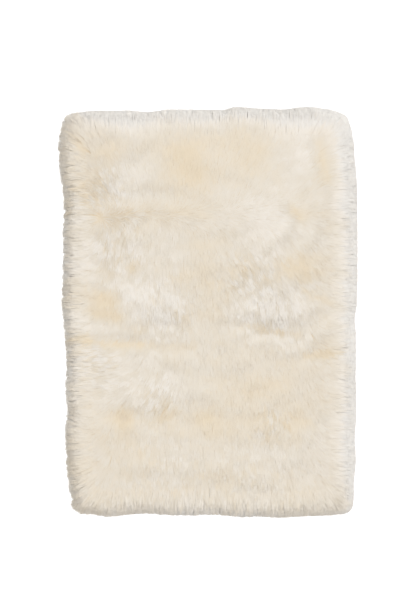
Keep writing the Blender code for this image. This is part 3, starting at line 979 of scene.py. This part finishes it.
def make_wool_tree():
    """Strands over a skin: spread, gathered into locks, bent over along the comb, and trimmed."""
    tree, given, done = new_group("combed_wool", "GeometryNodeTree", WOOL_SOCKETS, {"Strands": "Geometry"})
    fields = (Field(given[name]) for name in WOOL_SOCKETS)
    skin, density, length, width, steps, spacing, seed, material = fields

    # The locks' middles, each with its own whims.
    locks = tree.nodes.new("GeometryNodeDistributePointsOnFaces")
    locks.distribute_method = "POISSON"
    tree.links.new(skin.socket, locks.inputs["Mesh"])
    tree.links.new(spacing.socket, locks.inputs["Distance Min"])
    tree.links.new((spacing ** -2.0 * LOCKS_TRIED).socket, locks.inputs["Density Max"])
    tree.links.new(seed.socket, locks.inputs["Seed"])
    lock_points = Field(locks.outputs["Points"])

    # The strands' roots, each of which belongs to the nearest lock.
    spread_roots = tree.nodes.new("GeometryNodeDistributePointsOnFaces")
    spread_roots.distribute_method = "RANDOM"
    tree.links.new(skin.socket, spread_roots.inputs["Mesh"])
    tree.links.new((density * named(tree, "dense")).socket, spread_roots.inputs["Density"])
    tree.links.new(seed.socket, spread_roots.inputs["Seed"])
    points = Field(spread_roots.outputs["Points"])

    root = add_node(tree, "GeometryNodeInputPosition")
    lock = add_node(tree, "GeometryNodeSampleNearest", lock_points, root, domain="POINT")

    def of_lock(value, kind="FLOAT"):
        options = {"data_type": kind, "domain": "POINT"}
        return add_node(tree, "GeometryNodeSampleIndex", lock_points, value, lock, **options)

    middle = of_lock(root, "FLOAT_VECTOR")
    whims = [of_lock(randomly(tree, -1.0, 1.0, LOCK_SEED + k)) for k in range(WHIMS)]
    own = [randomly(tree, -1.0, 1.0, OWN_SEED + k) for k in range(WHIMS)]
    plain = named(tree, "locky")

    def much(amount):
        return plain * amount.locks + amount.calm

    turn = whims[0] * much(TURN_LOCK) + own[0] * much(TURN_OWN)
    outward_share = named(tree, "from_rim") * -OUTWARD_FALL + whims[3] * OUTWARD_LOCK + OUTWARD_USUAL
    outward_share = outward_share.at_least(0.0).at_most(1.0)
    down, out = named(tree, "comb", True), named(tree, "comb_out", True)
    comb = (down + (out - down) * outward_share).unit()
    comb = add_node(tree, "ShaderNodeVectorRotate", comb, None, turn, rotation_type="Z_AXIS")
    stand, outward = named(tree, "stand", True), named(tree, "way_out", True)
    lock_length = (whims[1] * much(LENGTH_LOCK) + 1.0) * much(LENGTH_USUAL)
    reach = length * lock_length * (own[1] * LENGTH_OWN_SPREAD + LENGTH_OWN)
    gather = (middle - root) * named(tree, "gathered")
    start_lean = plain * (LOCKY_LEAN - CALM_LEAN) + CALM_LEAN
    swing = (start_lean * -1.0 + END_LEAN) ** -1.0
    over_all = (start_lean.cosine() - math.cos(END_LEAN)) * swing
    up_all = (start_lean.sine() * -1.0 + math.sin(END_LEAN)) * swing
    outwards = (comb * over_all + stand * up_all).dot(outward) * reach + gather.dot(outward)
    trim = named(tree, "room") + whims[3] * much(TRIM_LOCK) + own[3] * much(TRIM_OWN) + TRIM_LENGTH
    tone, streaky = named(tree, "tone"), named(tree, "streaky")
    lock_tone = (whims[4] - LOCK_WHITER) * (streaky * STREAK_LOCK + STREAK_LEAST)
    shade = (tone + lock_tone + own[3] * streaky).at_least(tone.at_most(WHITEST_LOCK))
    dulled = (whims[0] * DULLED_LOCK + own[0] * DULLED_OWN + DULLED_USUAL).at_least(0.0)
    for name, value in (
        ("root", root),
        ("along", comb),
        ("start_lean", start_lean),
        ("gather", gather),
        ("reach", reach),
        ("fit", (trim / outwards.at_least(SHORTEST)).at_most(1.0)),
        ("rise", whims[2] * much(RISE_LOCK) + own[2] * much(RISE_OWN) + RISE_USUAL),
        ("roll", own[4] * much(ROLL_OWN) + whims[4] * much(ROLL_LOCK)),
        ("shade", shade),
        ("dulled", named(tree, "dull") * dulled),
        ("tousle", (whims[1] * TOUSLE_LOCK + own[2] * TOUSLE_OWN) * much(TOUSLED)),
        ("layer", own[4] * 0.5 + 0.5),
        ("bend", whims[4] * BEND_LOCK + own[1] * BEND_OWN),
    ):
        points = stored(tree, points, name, value)

    # One strand: a ribbon of a few steps, t along it and s across it, ending in a point.
    ribbon = add_node(tree, "GeometryNodeMeshGrid", RIBBON_WIDTH, RIBBON_LENGTH, 2, steps + 1.0)
    place_x, place_y, _ = add_node(tree, "GeometryNodeInputPosition").parts()
    ribbon = stored(tree, ribbon, "t", (place_y * -1.0 + 0.5) ** TIP_BENDS * -1.0 + 1.0)
    ribbon = stored(tree, ribbon, "s", place_x)
    past_line = {"data_type": "FLOAT", "operation": "GREATER_THAN"}
    tip = add_node(tree, "FunctionNodeCompare", place_y, TIP_LINE, **past_line)
    ribbon = add_node(tree, "GeometryNodeMergeByDistance", ribbon, tip, None, TIP_WELD)
    strands = add_node(tree, "GeometryNodeInstanceOnPoints", points, None, ribbon)
    strands = add_node(tree, "GeometryNodeRealizeInstances", strands)

    # The strand leans over more and more from its root, towards its lock's tip.
    t, s = named(tree, "t"), named(tree, "s")
    along, start_lean = named(tree, "along", True), named(tree, "start_lean")
    swing = (start_lean * -1.0 + END_LEAN) ** -1.0
    lean = start_lean + t * (start_lean * -1.0 + END_LEAN)
    over = (start_lean.cosine() - lean.cosine()) * swing
    up = (lean.sine() - start_lean.sine()) * swing
    path = (along * over + stand * (up * named(tree, "rise"))) * named(tree, "reach")
    path = (path + named(tree, "gather", True) * (t**GATHER_POWER)) * named(tree, "fit")
    still_inside = named(tree, "room") - path.dot(outward) + named(tree, "bend")
    path = path + named(tree, "root", True)
    tangent = along * lean.sine() + stand * lean.cosine()
    roll = named(tree, "roll")
    facing = stand * roll.cosine() + along.cross(stand) * roll.sine()
    side = tangent.cross(facing).unit()
    swelling = (t * SWELL + ROOT_WIDTH).at_most(1.0)
    taper = (t**TAPER_POWER) * -1.0 + 1.0
    half = width * named(tree, "wide") * 0.5 * swelling * taper

    # The rim's wool drapes down to the floor, and none of it goes below it.
    x, y, z = (path + side * (s * half)).parts()

    def slope(inside_edge):
        from_top = (inside_edge / RIM_SLOPE).at_least(0.0).at_most(1.0) * -1.0 + 1.0
        return from_top**SLOPE_POWER * -SLOPE_DROP + 1.0

    low = slope(still_inside)
    z = z * low / slope(named(tree, "room")) * ((low * -1.0 + 1.0) * named(tree, "tousle") + 1.0)
    z = z.at_least(named(tree, "layer") * FLOOR_PILE + FLOOR_GAP)
    draped = add_node(tree, "ShaderNodeCombineXYZ", x, y, z)
    strands = add_node(tree, "GeometryNodeSetPosition", strands, None, draped)

    # Each strand's tone and the place along it, for the wool's colour.
    def on_map(share):
        return share * (1.0 - 2.0 * MAP_MARGIN) + MAP_MARGIN

    tone_share = named(tree, "shade").at_least(0.0).at_most(DEEPEST_TONE) * (1.0 / DEEPEST_TONE)
    # Where a strand is along its root-to-tip colour: dulled strands keep the darker root colour further up.
    root_to_tip_place = t * (named(tree, "dulled") * -DULLED_MOST + 1.0).at_least(1.0 - DULLED_MOST)
    across = on_map(tone_share) + s * STROKE_ON_MAP
    coloured = add_node(tree, "ShaderNodeCombineXYZ", across, on_map(root_to_tip_place), 0.0)
    strands = stored(tree, strands, "OFBake", coloured, domain="CORNER", kind="FLOAT2")
    strands = add_node(tree, "GeometryNodeSetShadeSmooth", strands)
    strands = add_node(tree, "GeometryNodeSetMaterial", strands, None, material)
    tree.links.new(strands.socket, done["Strands"])
    return tree


def make_long_wool():
    """Cream wool by its tone, darker and yellower towards the roots: partly the wool's own colour, partly
    painted shade deep in the fleece.
    """
    material, tree, shader = new_material("long_wool")
    places = tree.nodes.new("ShaderNodeUVMap")
    places.uv_map = "OFBake"
    split = tree.nodes.new("ShaderNodeSeparateXYZ")
    tree.links.new(places.outputs["UV"], split.inputs["Vector"])
    shade, colour = wool_colour_in(tree, split.outputs["X"])
    tree.links.new(colour_ramp(tree, split.outputs["Y"], ROOT_TINT_AND_SHADE), shade)
    tree.links.new(colour, shader.inputs["Base Color"])
    shader.inputs["Roughness"].default_value = WOOL_ROUGHNESS
    shader.inputs["Specular IOR Level"].default_value = WOOL_GLOSS
    return material


wool_tree = make_wool_tree()
long_wool = make_long_wool()


def part_of(mesh, kept):
    """A copy of a mesh with only some of its faces."""
    bm = bmesh.new()
    bm.from_mesh(mesh)
    keep_only(bm, kept)
    copy = bpy.data.meshes.new(mesh.name)
    bm.to_mesh(copy)
    bm.free()
    return copy


def grow_wool(name, kept, growth, seed):
    """The wool of one stretch of skin, as a plain mesh piece."""
    carrier = show(name, part_of(rooted, kept))
    sizes = {
        "Density": growth.density,
        "Length": growth.length,
        "Width": growth.width,
        "Steps": growth.steps,
        "Lock spacing": growth.lock_spacing,
        "Seed": seed,
        "Wool": long_wool,
    }
    piece = show(name, grown_from(carrier, wool_tree, sizes))
    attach(piece, "root")
    return piece


centres = np.array([face.center for face in rooted.polygons])
centre_room, centre_out, _ = room_to(wool_edge, centres[:, :2])
at_rim = centre_room < RIM_PIECE
at_side = np.abs(centre_out[:, 0]) > np.abs(centre_out[:, 1])
strips = strip_of(centres)
rim_sides = {
    "left": at_side & (centre_out[:, 0] < 0.0),
    "right": at_side & (centre_out[:, 0] > 0.0),
    "head": ~at_side & (centre_out[:, 1] > 0.0),
    "foot": ~at_side & (centre_out[:, 1] <= 0.0),
}
for k in range(len(SEAMS) + 1):
    kept = ~at_rim & (strips == k)
    grow_wool(f"wool_strip_{k + 1}", kept, INNER_GROWTH, INNER_SEED + k)
for k, (side, kept) in enumerate(rim_sides.items()):
    grow_wool(f"wool_rim_{side}", at_rim & kept, RIM_GROWTH, RIM_SEED + k)

# ---------------------------------------------------------------------------------------------
# Studio: a white floor, a large soft light from the upper right, and a camera straight above.
# ---------------------------------------------------------------------------------------------

FRAME_HEIGHT = 1.616
FRAME_CENTRE = (-0.0152, 0.0180)
FRAME_LEVEL = 0.04  # the frame's height is measured this high above the floor
LENS, SENSOR = 100.0, 36.0
FLOOR_HALF = 6.0
FLOOR_BOUNCE, FLOOR_ROUGHNESS = 0.66, 0.9
KEY_STRENGTH, KEY_COLOUR, KEY_WIDTH = 1.12, (0.96, 0.975, 1.0), math.radians(50.0)
KEY_FROM = (1.07, 0.90, 1.7)
SKY_STRENGTH, SKY_COLOUR = 0.699, (1.0, 0.955, 0.89, 1.0)

floor_mesh = bpy.data.meshes.new("floor")
bm = bmesh.new()
bmesh.ops.create_grid(bm, x_segments=1, y_segments=1, size=FLOOR_HALF)
bm.to_mesh(floor_mesh)
bm.free()
# The floor is lit to pure white where it is seen, and throws only some of that light back on the rug.
paper, paper_tree, shader = new_material("paper")
shader.inputs["Base Color"].default_value = (FLOOR_BOUNCE, FLOOR_BOUNCE, FLOOR_BOUNCE, 1.0)
shader.inputs["Roughness"].default_value = FLOOR_ROUGHNESS
shader.inputs["Emission Color"].default_value = WHITE
seen = paper_tree.nodes.new("ShaderNodeLightPath").outputs["Is Camera Ray"]
paper_tree.links.new(seen, shader.inputs["Emission Strength"])
floor_mesh.materials.append(paper)
show("floor", floor_mesh)

key_light = bpy.data.lights.new("key", "SUN")
key_light.energy = KEY_STRENGTH
key_light.color = KEY_COLOUR
key_light.angle = KEY_WIDTH
key = bpy.data.objects.new("key", key_light)
key.rotation_euler = Vector(KEY_FROM).to_track_quat("Z", "Y").to_euler()
bpy.context.scene.collection.objects.link(key)

world = bpy.data.worlds.new("studio")
world.use_nodes = True
sky = world.node_tree.nodes["Background"]
sky.inputs["Color"].default_value = SKY_COLOUR
sky.inputs["Strength"].default_value = SKY_STRENGTH
bpy.context.scene.world = world
bpy.context.scene.view_settings.view_transform = "Standard"

camera_data = bpy.data.cameras.new("camera")
camera_data.lens = LENS
camera_data.sensor_width = SENSOR
camera = bpy.data.objects.new("camera", camera_data)
camera.location = (*FRAME_CENTRE, FRAME_HEIGHT * LENS / SENSOR + FRAME_LEVEL)
bpy.context.scene.collection.objects.link(camera)
bpy.context.scene.camera = camera
